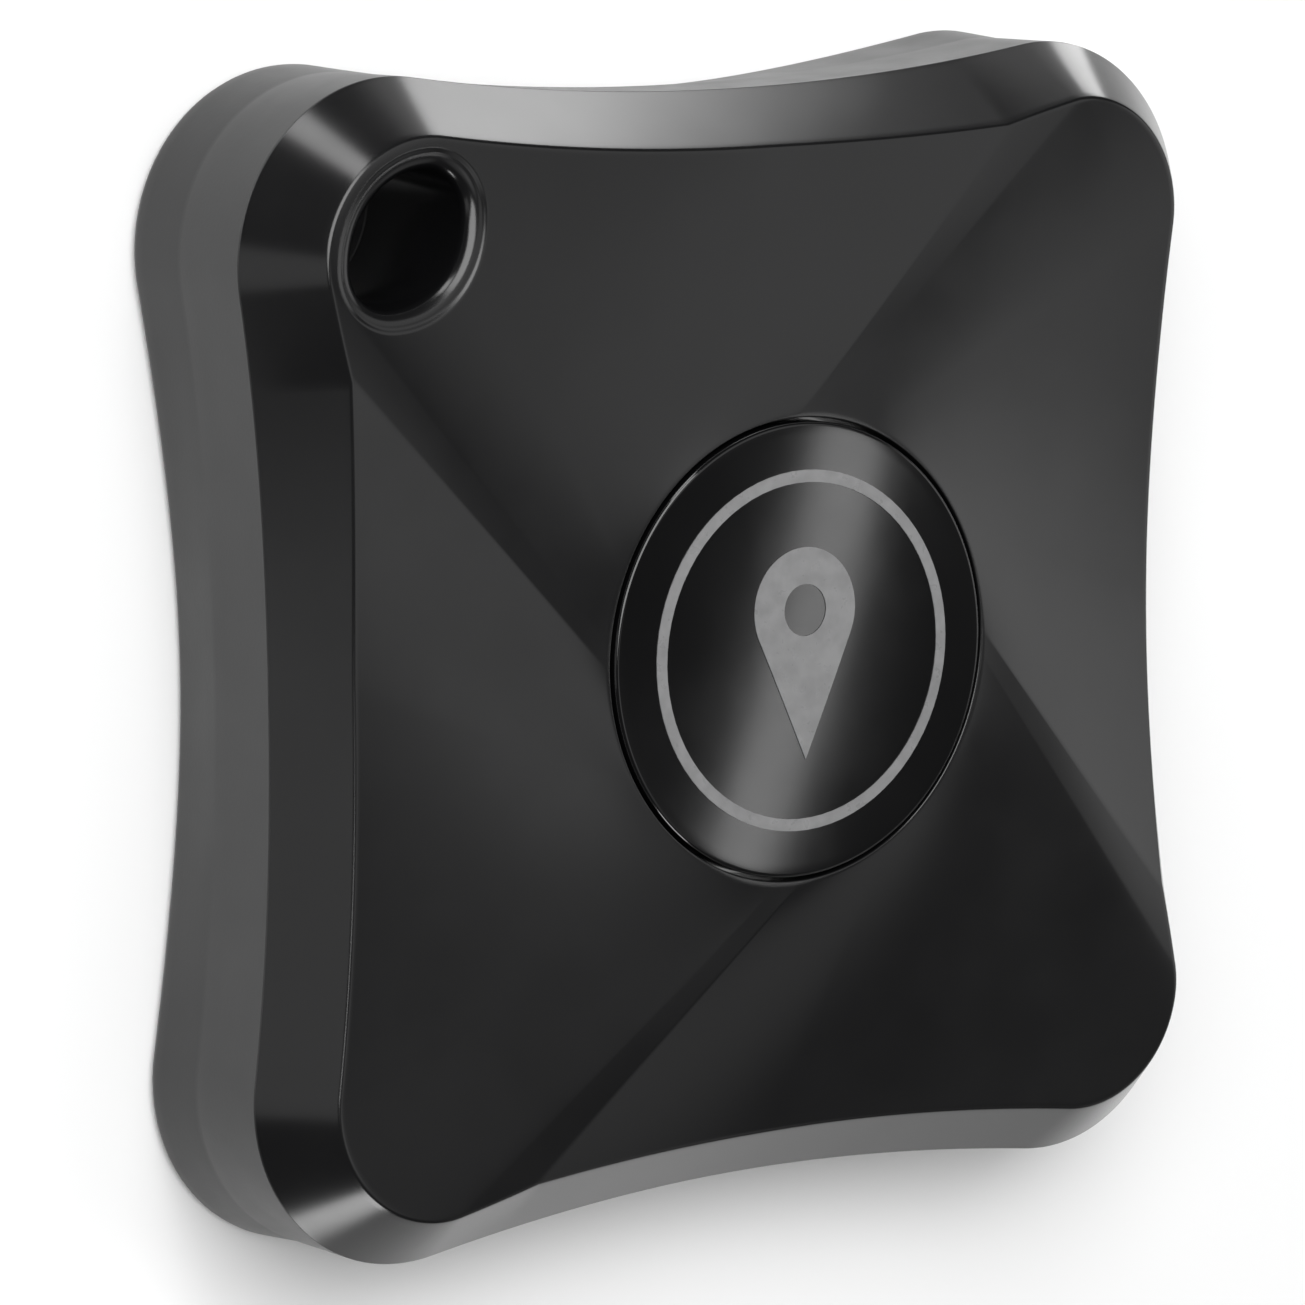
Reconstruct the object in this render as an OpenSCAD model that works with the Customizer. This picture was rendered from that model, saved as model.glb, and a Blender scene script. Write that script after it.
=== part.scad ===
// Bluetooth tracker tag: a black square case with hollowed sides, a four-bladed pinwheel front,
// a round push button and an oval key-ring hole. The back lies on z = 0 and the front faces +Z.

/* [Case] */
// Overall width and height of the case
case_w = 38; // [37:0.5:39]
// Radius of the four rounded corners
corner_r = 5.75; // [5.5:0.05:6]
// How far each side dips in at its middle
waist = 1; // [0.8:0.1:1.2]
// Height of the joint line between the two shells
joint_z = 5.85; // [5.8:0.05:5.9]
// Height of the face edge, where the front bevel ends
face_z = 8; // [7.9:0.05:8.1]
// Width of the front bevel seen from the front
bevel_w = 1.78; // [1.7:0.02:1.8]
// Height of the crease round the rear shell
crease_z = 2.7; // [2.5:0.1:2.9]
// How far the rear shell tapers in from the crease to the back
taper = 0.22; // [0.1:0.02:0.3]
// How much less the rear shell tapers at its corners
corner_flare = 0.42; // [0.3:0.02:0.46]
// How far the corners of the joint and of the face stand above the middles of the sides
corner_lift = 0.3; // [0.2:0.02:0.4]
// Radius of the rounded edge round the back
back_r = 0.45; // [0.3:0.05:0.5]
// Wall thickness of the rear shell
wall = 1.4; // [1.3:0.1:1.5]
// Thickness of the back
floor_t = 1; // [0.9:0.05:1]

/* [Pinwheel face] */
// Height of the face's inner edge, just inside the button opening
crown_z = 9.71; // [9.55:0.02:9.71]
// Angle that the blades turn through on their way to the button
twist = 30; // [20:1:35]
// How far the face edge rises at each crease
kink_rise = 0.34; // [0.2:0.02:0.36]
// How much wider the bevel is at each crease
kink_inset = 0.3; // [0.2:0.02:0.4]

/* [Key-ring hole] */
// Distance of the hole's centre from both centre lines
hole_c = 14.05; // [13.9:0.05:14.1]
// Half of the oval hole's long diameter
hole_a = 2.5; // [2.4:0.05:2.6]
// Half of the oval hole's short diameter
hole_b = 1.8; // [1.75:0.01:1.9]
// Radius of the oval's two ends
hole_end_r = 1.3; // [1.25:0.05:1.4]
// Wall of the tube round the hole
hole_wall = 0.8; // [0.7:0.05:0.8]
// Width of the sunken rim round the hole
hole_rim_w = 0.5; // [0.4:0.05:0.6]

/* [Button] */
// Diameter of the button
button_d = 14.9; // [14.8:0.1:15]
// Height of the button's rim
button_rim_z = 9.8; // [9.75:0.05:9.85]
// Rise of the button's dome above its rim
dome_rise = 0.2; // [0.15:0.01:0.2]
// Gap between the button and the front cover
button_gap = 0.12; // [0.1:0.01:0.15]
// Travel of the button and the switch under it
travel = 0.3; // [0.2:0.05:0.3]

/* [Electronics] */
// Height of the circuit board's top face
board_z = 5.7; // [5.65:0.05:5.7]
// Thickness of the circuit board
board_t = 0.8; // [0.8:0.05:0.9]
// Coin cell diameter
cell_d = 20; // [20:0.1:20.2]
// Coin cell thickness
cell_t = 3.2; // [3:0.1:3.2]
// Clearance between the shells' interlocking rims
fit = 0.07; // [0.05:0.01:0.1]

/* [Hidden] */
$fn = 96;
eps = 0.01;

// Colours
case_black = [0.05, 0.05, 0.055];
button_black = [0.03, 0.03, 0.033];
print_grey = [0.55, 0.55, 0.56];
board_green = [0.05, 0.3, 0.16];
steel = [0.75, 0.75, 0.77];
gold = [0.85, 0.68, 0.32];
chip_black = [0.09, 0.09, 0.1];

// The case outline is four corner arcs joined by four hollow side arcs. Insetting it keeps
// every arc's centre, so all walls are true cylinders and cones.
corner_c = case_w / 2 - corner_r;
side_m = case_w / 2 - waist;
q = corner_r - side_m;
side_c = (2 * corner_c * corner_c - q * q) / (2 * (corner_c + q));
side_r = side_c - side_m;
hollow_turn = atan2(corner_c, side_c - corner_c);

// Shells
// The rear shell's rim stands up inside the front cover: its inner and outer inset and its heights
rim_in = wall + 0.8;
rim_out = wall + 0.1;
rim_foot_z = 4.6;
ceiling_z = 6.85;
rim_top_z = ceiling_z - 0.1;
// Room over the board, under the middle of the front cover
dome_room_r = 11.5;
dome_room_z = 7.55;
seam_gap = 0.05;
tube_gap = 0.12;
hole_rim_sink = 0.1;
// Slot for prying the shells apart, cut into the middle of the +X side: [depth, width, height]
pry_slot = [0.9, 8, 0.7];
boss_r = 1.5;
boss_h = 1.5;

// Button
button_r = button_d / 2;
opening_r = button_r + button_gap;
// The skin runs on a little way inside the opening, which is then cut through it
crown_r = opening_r - 0.2;
pocket_r = opening_r + 1.15;
lip_under_z = crown_z - 1.02;
flange_r = pocket_r - 0.3;
flange_t = 0.5;
flange_z = lip_under_z - flange_t - 0.05;
skirt_t = 0.85;
// Key on the +Y side of the button, which keeps it from turning
key_w = 1.6;
key_reach = 0.6;
cap_under_z = button_rim_z - 1.05;
dome_r = (button_r * button_r + dome_rise * dome_rise) / (2 * dome_rise);
dome_c_z = button_rim_z + dome_rise - dome_r;
// Print on the button: a map pin inside a thin ring
print_t = 0.03;
pin_r = 2.05;
pin_l = 4.9;
pin_y = 1.35;
pin_window_r = 0.85;
ring_r = 5.9;
ring_w = 0.4;
pad_r = 1.6;

// Board, its locating pegs and its screws
board_under_z = board_z - board_t;
board_in = rim_in + 0.35;
peg_r = 0.35;
peg_turns = [40, 150, 270];
screw_spots = [[12, 12], [-12, -12], [13.4, 1.5]];
screw_r = 0.7;
screw_l = 2.1;
screw_clearance = 0.03;
screw_hole_r = 0.85;
screw_head = [1.05, 1.25, 0.7];
screw_cross = [1.5, 0.35, 0.35];

// Parts on the board: places [x, y] and sizes [x, y, z]
test_pad = [0.55, 0.03];
test_pads_at = [1.2, 12.6];
chip_at = [-8.6, -3];
chip_size = [5, 5, 0.85];
crystal_at = [-8.6, 2.4];
crystal_base = [3.2, 2.5, 0.5];
crystal_lid = [2.8, 2.1, 0.2];
antenna_at = [-2, -13.4];
antenna_size = [5.2, 1.8, 0.95];
coil_at = [7.6, -8.6];
coil_r = 1.15;
coil_flange = [1.5, 0.25];
coil_h = 1;
transistor_at = [9.6, -3.6];
transistor_size = [1.3, 2.9, 0.9];
transistor_legs = [[-0.85, 0.95], [-0.85, -0.95], [0.85, 0]];
leg_size = [0.8, 0.4, 0.15];
led_at = [0, 9.9];
led_base = [1.6, 0.8, 0.3];
led_lens = [1.1, 0.7, 0.35];
small_capacitor = [1, 0.5, 0.5];
large_capacitor = [0.8, 1.6, 0.8];
resistor = [1, 0.5, 0.35];

// Push switch: a base with a well, a sprung dome in the well, a plunger and a sheet cover
switch_w = 5.1;
switch_base_h = 1.3;
switch_cover_z = board_z + switch_base_h;
switch_cover_t = 0.2;
switch_clip = [0.15, 2, 0.9];
switch_terminal = [0.7, 0.7, 0.12];
switch_well_r = 2;
switch_well_z = board_z + 0.5;
plunger_r = 1.2;
plunger_foot = [1.75, 0.26];
plunger_top_z = switch_cover_z + travel + 0.3;
snap_r = 1.9;
snap_h = travel + 0.15;
snap_t = 0.08;
snap_z = switch_well_z + 0.02;

// Buzzer: heights are counted from the bottom of its case
buzzer_w = 7.5;
buzzer_h = 2.5;
buzzer_off = 14.85;
buzzer_z = board_under_z - buzzer_h;
buzzer_port_r = 0.6;
buzzer_floor_t = 0.3;
buzzer_room_r = 3.3;
ledge_z = 0.55;
ledge_w = 0.4;
disc_r = 3.2;
disc_t = 0.08;
disc_weight = [0.9, 0.15];
magnet_z = 0.95;
yoke_z = 2.05;
yoke_t = 0.3;
magnet_r = [3.1, 2.4];
winding_r = [2.1, 1];
core_r = 0.95;
buzzer_terminal = [2.4, 1.4, 0.1];

// Coin cell, its frame and its contacts
cell_r = cell_d / 2;
cell_z = 1.35;
cell_top_z = cell_z + cell_t;
pad_under_cell_r = 7;
can_t = 0.25;
can_h = cell_t - 0.35;
cap_r = 8.8;
cap_foot = 0.62;
crimp = 0.35;
slip = 0.02;
pellet_r = 8.2;
cathode_t = 1.65;
separator_t = 0.08;
frame_r = cell_r + 0.2;
frame_t = 0.75;
frame_foot_z = 1.9;
slot_w = 3.6;
side_contact = [0.2, 2.8];
side_contact_foot = 2;
side_bump = [0.9, 0.4];
// How far the side contact stays above the foot of the frame
side_contact_foot_up = 0.3;
// Gap between the side contact's bump and the cell
bump_gap = 0.03;
top_contact_t = 0.12;
top_contact_r = 2.2;
top_arm = [5, 1.4];
top_bump = [0.3, 0.6];
// Distances from the cell's axis to an arm's middle and to its bump
top_arm_at = 3;
top_bump_at = 4.6;

// The point where the first corner's arc of radius r meets the hollow arc of the +Y side
function meet(r) = [corner_c - r * sin(hollow_turn), corner_c + r * cos(hollow_turn)];
function flip(p) = [p[1], p[0]];
function turn(p, k) = k == 0 ? p : turn([-p[1], p[0]], k - 1);

// Straight-sided figure that the arcs are added to and cut from
module outline_core(r) {
  polygon([for (k = [0:3], p = [flip(meet(r)), [corner_c, corner_c], meet(r)]) turn(p, k)]);
}

// A block with the case outline, inset by in1 at the bottom and in2 at the top
module case_block(z1, z2, in1 = 0, in2 = 0) {
  h = z2 - z1;
  translate([0, 0, z1]) {
    difference() {
      linear_extrude(h) outline_core(corner_r - min(in1, in2));
      for (k = [0:3])
        rotate(90 * k) translate([0, side_c, -eps])
          cylinder(h = h + 2 * eps, r1 = side_r + in1, r2 = side_r + in2, $fn = 360);
    }
    for (k = [0:3])
      rotate(90 * k) translate([corner_c, corner_c, 0])
        cylinder(h = h, r1 = corner_r - in1, r2 = corner_r - in2);
  }
}

// Oval of four arcs, its long axis across the corner's diagonal, grown by g
oval_e = (pow(hole_a - hole_end_r, 2) - pow(hole_b - hole_end_r, 2)) / (2 * (hole_b - hole_end_r));
oval_side_r = hole_b + oval_e;
module oval(g = 0) {
  reach = (hole_a - hole_end_r) * (oval_side_r + g) / (oval_side_r - hole_end_r);
  translate([-hole_c, hole_c]) rotate(45) {
    intersection() {
      translate([0, oval_e]) circle(oval_side_r + g);
      translate([0, -oval_e]) circle(oval_side_r + g);
      square([2 * reach, 4 * hole_a], center = true);
    }
    for (s = [-1, 1]) translate([s * (hole_a - hole_end_r), 0]) circle(hole_end_r + g);
  }
}
module oval_post(z1, z2, g = 0) {
  translate([0, 0, z1]) linear_extrude(z2 - z1) oval(g);
}

// A flat ring
module ring(r_out, r_in, z1, z2) {
  translate([0, 0, z1]) difference() {
    cylinder(h = z2 - z1, r = r_out);
    translate([0, 0, -eps]) cylinder(h = z2 - z1 + 2 * eps, r = r_in);
  }
}

// A box centred on the point at, standing on z1
module slab(at, z1, size) {
  translate([at[0] - size[0] / 2, at[1] - size[1] / 2, z1]) cube(size);
}

// ---------- Pinwheel skin of the front cover ----------
// Steps round half a side and round a corner
side_steps = 13;
corner_steps = 12;
// Steps from a side's middle to its crease, and on from there to where the rise and the inset end
kink_step = 10;
rise_drop_steps = 21;
inset_drop_steps = 5;
quarter = 2 * side_steps + corner_steps;
count = 4 * quarter;
face_rings = 6;

// Point i of the outline, inset by d, counted anticlockwise from the middle of the +X side
function side_point(t, d) =
  let (a = hollow_turn * t) [side_c - (side_r + d) * cos(a), (side_r + d) * sin(a)];
function corner_point(t, d) =
  let (a = t * 90 - hollow_turn * (1 - 2 * t), r = corner_r - d)
    [corner_c + r * cos(a), corner_c + r * sin(a)];
function quarter_point(i, d) =
  i < side_steps ? side_point(i / side_steps, d)
  : i <= side_steps + corner_steps ? corner_point((i - side_steps) / corner_steps, d)
  : flip(side_point((quarter - i) / side_steps, d));
function outline_point(i, d) = turn(quarter_point(i % quarter, d), floor(i / quarter));

// 0 at the middles of the sides and 1 at the corners
function corner_share(i) =
  let (p = outline_point(i, 0)) (1 - cos(4 * atan2(p[1], p[0]))) / 2;
function lift(i) = corner_lift * corner_share(i);
// 0 at the middle of a side, growing to 1 at its crease and falling back past it
function to_crease(i, drop_steps) =
  let (s = quarter - i % quarter)
    s <= kink_step ? pow(s / kink_step, 1.5)
    : pow(max(0, 1 - (s - kink_step) / drop_steps), 2);
function rise(i) = kink_rise * to_crease(i, rise_drop_steps);
function edge_point(i) =
  outline_point(i, bevel_w + kink_inset * to_crease(i, inset_drop_steps));
function crown_point(i) =
  let (p = outline_point(i, bevel_w), a = atan2(p[1], p[0]) + twist)
    [crown_r * cos(a), crown_r * sin(a)];
function face_height(i, u) =
  face_z + (crown_z - face_z) * (0.75 * u + 0.25 * u * u) + rise(i) * (1 - pow(u, 3))
  + lift(i) * (1 - u);
function face_point(i, u) = concat((1 - u) * edge_point(i) + u * crown_point(i), face_height(i, u));

// A closed skin over rings of points. Both its ends are fans round a point on the axis
module skin(rings, low_z, high_z) {
  last = len(rings) - 1;
  low = (last + 1) * count;
  points = concat([for (ring = rings) each ring], [[0, 0, low_z], [0, 0, high_z]]);
  bands = [
    for (j = [0:last - 1], i = [0:count - 1])
      let (a = j * count + i, b = j * count + (i + 1) % count)
        each [[a, a + count, b], [b, a + count, b + count]]
  ];
  ends = [
    for (i = [0:count - 1])
      let (k = (i + 1) % count)
        each [[i, k, low], [last * count + k, last * count + i, low + 1]]
  ];
  polyhedron(points, concat(bands, ends));
}

module pinwheel_skin() skin(concat(
  [[for (i = [0:count - 1]) concat(outline_point(i, 0), joint_z + lift(i))]],
  [for (j = [0:face_rings]) [for (i = [0:count - 1]) face_point(i, j / face_rings)]]
), joint_z, crown_z);

// The tapered rear shell's outside, up to the joint
function back_inset(i) = taper - corner_flare * corner_share(i);
module rear_skin() skin([
  [for (i = [0:count - 1]) concat(outline_point(i, back_inset(i) + back_r), 0)],
  [for (i = [0:count - 1]) concat(outline_point(i, back_inset(i) + 0.3 * back_r), 0.3 * back_r)],
  [for (i = [0:count - 1]) concat(outline_point(i, back_inset(i)), back_r)],
  [for (i = [0:count - 1]) concat(outline_point(i, 0), crease_z)],
  [for (i = [0:count - 1]) concat(outline_point(i, 0), joint_z + lift(i))]
], 0, joint_z);

// ---------- Shells ----------
module rear_shell() color(case_black) difference() {
  union() {
    rear_skin();
    case_block(rim_foot_z, rim_top_z, rim_out, rim_out);
  }
  difference() {
    case_block(floor_t, rim_foot_z, wall, wall);
    oval_post(0, crease_z, hole_wall);
  }
  case_block(rim_foot_z - eps, rim_top_z + 1, rim_in, rim_in);
  oval_post(-1, case_w, 0);
  oval_post(crease_z, case_w, hole_wall + tube_gap);
  slab([side_m, 0], joint_z - pry_slot[2], [2 * pry_slot[0], pry_slot[1], 1]);
}

module front_cover() color(case_black) {
  difference() {
    union() {
      difference() {
        pinwheel_skin();
        case_block(joint_z - 1, ceiling_z, rim_out - fit, rim_out - fit);
        translate([0, 0, joint_z]) cylinder(h = dome_room_z - joint_z, r = dome_room_r);
      }
      oval_post(crease_z + seam_gap, ceiling_z + eps, hole_wall);
      at_screws() translate([0, 0, board_z]) cylinder(h = boss_h, r = boss_r);
    }
    translate([0, 0, joint_z]) cylinder(h = lip_under_z - joint_z, r = pocket_r);
    cylinder(h = 2 * crown_z, r = opening_r);
    slab([0, pocket_r], joint_z, [key_w + 2 * button_gap, 2 * key_reach, lip_under_z - joint_z]);
    oval_post(-1, 2 * crown_z, 0);
    oval_post(face_z + corner_lift - hole_rim_sink, 2 * crown_z, hole_rim_w);
    at_screws() translate([0, 0, board_z - eps])
      cylinder(h = screw_l - board_t + 0.1, r = screw_r + screw_clearance);
  }
}

// ---------- Button ----------
module dome_cut(r) {
  translate([0, 0, dome_c_z]) sphere(r, $fn = 180);
}
module button_cap() color(button_black) {
  intersection() {
    difference() {
      union() {
        translate([0, 0, flange_z]) cylinder(h = 3, r = button_r);
        translate([0, 0, flange_z]) cylinder(h = flange_t, r = flange_r);
        slab([0, flange_r], flange_z, [key_w, 2 * key_reach, flange_t]);
      }
      translate([0, 0, flange_z - eps])
        cylinder(h = cap_under_z - flange_z + eps, r = button_r - skirt_t);
    }
    dome_cut(dome_r);
  }
}
// A map pin with a round window
module pin_shape() {
  a = asin(pin_r / pin_l);
  difference() {
    union() {
      translate([0, pin_y]) circle(pin_r);
      polygon([
        [-pin_r * cos(a), pin_y - pin_r * sin(a)],
        [0, pin_y - pin_l],
        [pin_r * cos(a), pin_y - pin_r * sin(a)]
      ]);
    }
    translate([0, pin_y]) circle(pin_window_r);
  }
}
module button_print() color(print_grey) {
  intersection() {
    translate([0, 0, button_rim_z - 1]) linear_extrude(3) {
      pin_shape();
      difference() {
        circle(ring_r);
        circle(ring_r - ring_w);
      }
    }
    difference() {
      dome_cut(dome_r + print_t);
      dome_cut(dome_r);
    }
  }
}
module button_pad() color([0.75, 0.75, 0.72]) {
  translate([0, 0, plunger_top_z]) cylinder(h = cap_under_z - plunger_top_z, r = pad_r);
}

// ---------- Circuit board and the parts soldered to it ----------
module at_pegs() {
  for (a = peg_turns) rotate(a) translate([frame_r + frame_t / 2, 0, 0]) children();
}
module at_screws() {
  for (p = screw_spots) translate([p[0], p[1], 0]) children();
}
module circuit_board() color(board_green) difference() {
  case_block(board_under_z, board_z, board_in, board_in);
  oval_post(0, case_w, hole_wall + 2 * tube_gap);
  at_screws() cylinder(h = case_w, r = screw_hole_r);
  at_pegs() cylinder(h = case_w, r = peg_r + 0.05);
}
module board_screws() color(steel) at_screws() translate([0, 0, board_under_z]) {
  cylinder(h = screw_l, r = screw_r);
  difference() {
    translate([0, 0, -screw_head[2]])
      cylinder(h = screw_head[2], r1 = screw_head[0], r2 = screw_head[1]);
    for (a = [0, 90]) rotate(a) slab([0, 0], -screw_head[2] - eps, screw_cross);
  }
}
module solder_pads() color(gold) {
  for (k = [0:4])
    translate([test_pads_at[0] + 1.7 * k, test_pads_at[1], board_z])
      cylinder(h = test_pad[1], r = test_pad[0]);
}
module bluetooth_chip() color(chip_black) {
  slab(chip_at, board_z, chip_size);
}
module crystal() color(steel) {
  slab(crystal_at, board_z, crystal_base);
  slab(crystal_at, board_z + crystal_base[2], crystal_lid);
}
module chip_antenna() color([0.9, 0.9, 0.85]) {
  slab(antenna_at, board_z, antenna_size);
}
module boost_coil() color([0.35, 0.35, 0.36]) translate([coil_at[0], coil_at[1], board_z]) {
  cylinder(h = coil_h, r = coil_r);
  for (z = [0, coil_h - coil_flange[1]])
    translate([0, 0, z]) cylinder(h = coil_flange[1], r = coil_flange[0]);
}
module driver_transistor() color(chip_black) {
  slab(transistor_at, board_z + 0.1, transistor_size);
  for (p = transistor_legs) slab(transistor_at + p, board_z, leg_size);
}
// A row of n equal parts on the board, each one step on from the last
module chip_row(at, step, n, size) {
  for (k = [0:n - 1]) slab(at + k * step, board_z, size);
}
function stood(size) = [size[1], size[0], size[2]];
module chip_capacitors() color([0.72, 0.6, 0.42]) {
  chip_row([-12.6, -5], [0, 1.1], 5, small_capacitor);
  chip_row([-5.2, 6.2], [1.5, 0], 4, stood(small_capacitor));
  chip_row([4.4, 8.2], [1.6, 0], 2, large_capacitor);
}
module chip_resistors() color([0.12, 0.12, 0.13]) {
  chip_row([-5, -7.2], [1.3, 0], 5, stood(resistor));
  chip_row([6.2, -1.6], [0, 1.2], 3, resistor);
}
module status_led() color([0.95, 0.93, 0.8]) {
  slab(led_at, board_z, led_base);
  slab(led_at, board_z + led_base[2], led_lens);
}

// ---------- Push switch ----------
module switch_base() color(chip_black) difference() {
  slab([0, 0], board_z, [switch_w, switch_w, switch_base_h]);
  translate([0, 0, switch_well_z]) cylinder(h = switch_base_h, r = switch_well_r);
}
module switch_cover() color(steel) {
  difference() {
    slab([0, 0], switch_cover_z, [switch_w, switch_w, switch_cover_t]);
    cylinder(h = case_w, r = plunger_r + 0.08);
  }
  for (s = [-1, 1])
    slab([s * (switch_w + switch_clip[0]) / 2, 0], switch_cover_z + switch_cover_t - switch_clip[2],
      switch_clip);
}
module switch_dome() color(steel) {
  dome = (snap_r * snap_r + snap_h * snap_h) / (2 * snap_h);
  translate([0, 0, snap_z]) intersection() {
    difference() {
      translate([0, 0, snap_h - dome]) sphere(dome);
      translate([0, 0, snap_h - dome]) sphere(dome - snap_t);
    }
    cylinder(h = 1, r = snap_r);
  }
}
module switch_plunger() color([0.85, 0.85, 0.82]) translate([0, 0, snap_z + snap_h]) {
  cylinder(h = plunger_foot[1], r = plunger_foot[0]);
  cylinder(h = plunger_top_z - snap_z - snap_h, r = plunger_r);
}
module switch_terminals() color(steel) {
  for (x = [-1, 1], y = [-1, 1])
    slab([x * (switch_w + switch_terminal[0]) / 2, y * 1.85], board_z, switch_terminal);
}

// ---------- Buzzer, under the board in the corner between the +X and -Y sides ----------
module at_buzzer() rotate(-45) translate([buzzer_off, 0, buzzer_z]) children();
module buzzer_case() color(chip_black) at_buzzer() difference() {
  slab([0, 0], 0, [buzzer_w, buzzer_w, buzzer_h - buzzer_terminal[2]]);
  translate([0, 0, buzzer_floor_t]) cylinder(h = buzzer_h, r = buzzer_room_r - ledge_w);
  translate([0, 0, ledge_z]) cylinder(h = buzzer_h, r = buzzer_room_r);
  translate([0, 0, -eps]) cylinder(h = 1, r = buzzer_port_r);
}
module buzzer_diaphragm() color(steel) at_buzzer() translate([0, 0, ledge_z]) {
  cylinder(h = disc_t, r = disc_r);
  cylinder(h = disc_t + disc_weight[1], r = disc_weight[0]);
}
module buzzer_magnet() color([0.25, 0.25, 0.27]) at_buzzer() {
  ring(magnet_r[0], magnet_r[1], magnet_z, yoke_z);
}
module buzzer_coil() color([0.72, 0.38, 0.18]) at_buzzer() {
  ring(winding_r[0], winding_r[1], magnet_z, yoke_z);
}
module buzzer_yoke() color(steel) at_buzzer() {
  translate([0, 0, yoke_z]) cylinder(h = yoke_t, r = disc_r);
  translate([0, 0, magnet_z]) cylinder(h = yoke_z + yoke_t - magnet_z, r = core_r);
}
module buzzer_terminals() color(steel) at_buzzer() {
  for (s = [-1, 1]) slab([0, 2.9 * s], buzzer_h - buzzer_terminal[2], buzzer_terminal);
}

// ---------- Coin cell and what holds it ----------
module cell_frame() color([0.8, 0.8, 0.78]) {
  difference() {
    ring(frame_r + frame_t, frame_r, frame_foot_z, board_under_z);
    slab([-frame_r, 0], 0, [4, slot_w, case_w]);
  }
  at_pegs() translate([0, 0, board_under_z - eps]) cylinder(h = board_t, r = peg_r);
}
module cell_positive_contact() color(gold) {
  t = side_contact[0];
  w = side_contact[1];
  x = -frame_r - t;
  foot_z = frame_foot_z + side_contact_foot_up;
  bump_h = frame_r + t / 2 - cell_r - bump_gap;
  slab([x, 0], foot_z, [t, w, board_under_z - foot_z]);
  slab([x - side_contact_foot / 2, 0], board_under_z - t, [side_contact_foot, w, t]);
  translate([x + t / 2, 0, cell_z + cell_t / 2])
    rotate([0, 90, 0]) cylinder(h = bump_h, r1 = side_bump[0], r2 = side_bump[1]);
}
module cell_negative_contact() color(gold) {
  z = board_under_z - top_contact_t;
  translate([0, 0, z]) cylinder(h = top_contact_t, r = top_contact_r);
  for (a = [90, 210, 330]) rotate(a) {
    slab([top_arm_at, 0], z, [top_arm[0], top_arm[1], top_contact_t]);
    translate([top_bump_at, 0, cell_top_z + slip])
      cylinder(h = z + eps - cell_top_z - slip, r1 = top_bump[0], r2 = top_bump[1]);
  }
}
module cell_foam_pad() color([0.2, 0.2, 0.21]) {
  translate([0, 0, floor_t]) cylinder(h = cell_z - floor_t, r = pad_under_cell_r);
}
module turned_in_cell(points) {
  translate([0, 0, cell_z]) rotate_extrude() polygon(points);
}
module cell_can() color(steel) turned_in_cell([
  [0, 0], [cell_r - 0.3, 0], [cell_r, 0.3], [cell_r, can_h - 0.15], [cell_r - 0.15, can_h],
  [cap_r + crimp, can_h], [cap_r + crimp, can_h - 0.2], [cell_r - can_t, can_h - 0.2],
  [cell_r - can_t, can_t], [0, can_t]
]);
module cell_seal() color([0.85, 0.85, 0.8]) turned_in_cell([
  [cap_r - 0.4, can_t + slip], [cell_r - can_t - slip, can_t + slip],
  [cell_r - can_t - slip, can_h - 0.2 - slip], [cap_r + crimp - slip, can_h - 0.2 - slip],
  [cap_r + crimp - slip, can_h], [cap_r + slip, can_h], [cap_r + slip, cap_foot - slip],
  [cap_r - 0.4, cap_foot - slip]
]);
module cell_cap() color(steel) turned_in_cell([
  [0, cell_t], [cap_r - 0.3, cell_t], [cap_r, cell_t - 0.3], [cap_r, cap_foot],
  [cap_r - can_t, cap_foot], [cap_r - can_t, cell_t - can_t], [0, cell_t - can_t]
]);
module cell_cathode() color([0.1, 0.1, 0.1]) {
  translate([0, 0, cell_z + can_t]) cylinder(h = cathode_t, r = pellet_r);
}
module cell_separator() color([0.95, 0.95, 0.93]) {
  translate([0, 0, cell_z + can_t + cathode_t]) cylinder(h = separator_t, r = pellet_r + 0.2);
}
module cell_anode() color([0.7, 0.72, 0.74]) {
  foot_z = can_t + cathode_t + separator_t;
  translate([0, 0, cell_z + foot_z]) cylinder(h = cell_t - can_t - slip - foot_z, r = pellet_r);
}

rear_shell();
cell_foam_pad();
front_cover();
button_cap();
button_print();
button_pad();
circuit_board();
board_screws();
solder_pads();
bluetooth_chip();
chip_antenna();
crystal();
boost_coil();
driver_transistor();
chip_capacitors();
chip_resistors();
status_led();
switch_base();
switch_cover();
switch_dome();
switch_plunger();
switch_terminals();
buzzer_case();
buzzer_diaphragm();
buzzer_magnet();
buzzer_coil();
buzzer_yoke();
buzzer_terminals();
cell_frame();
cell_positive_contact();
cell_negative_contact();
cell_can();
cell_cap();
cell_seal();
cell_cathode();
cell_separator();
cell_anode();
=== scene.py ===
"""Looks of a square tracker tag with a pinwheel front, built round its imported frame.

The tag lies on its back on the floor, with its front facing +Z. Lengths are in millimetres,
and become metres where a mesh, a light or the camera is made.
"""

import math

import bmesh
import bpy
import numpy as np
from mathutils import Matrix, Vector
from mathutils.bvhtree import BVHTree
from mathutils.geometry import delaunay_2d_cdt


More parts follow.
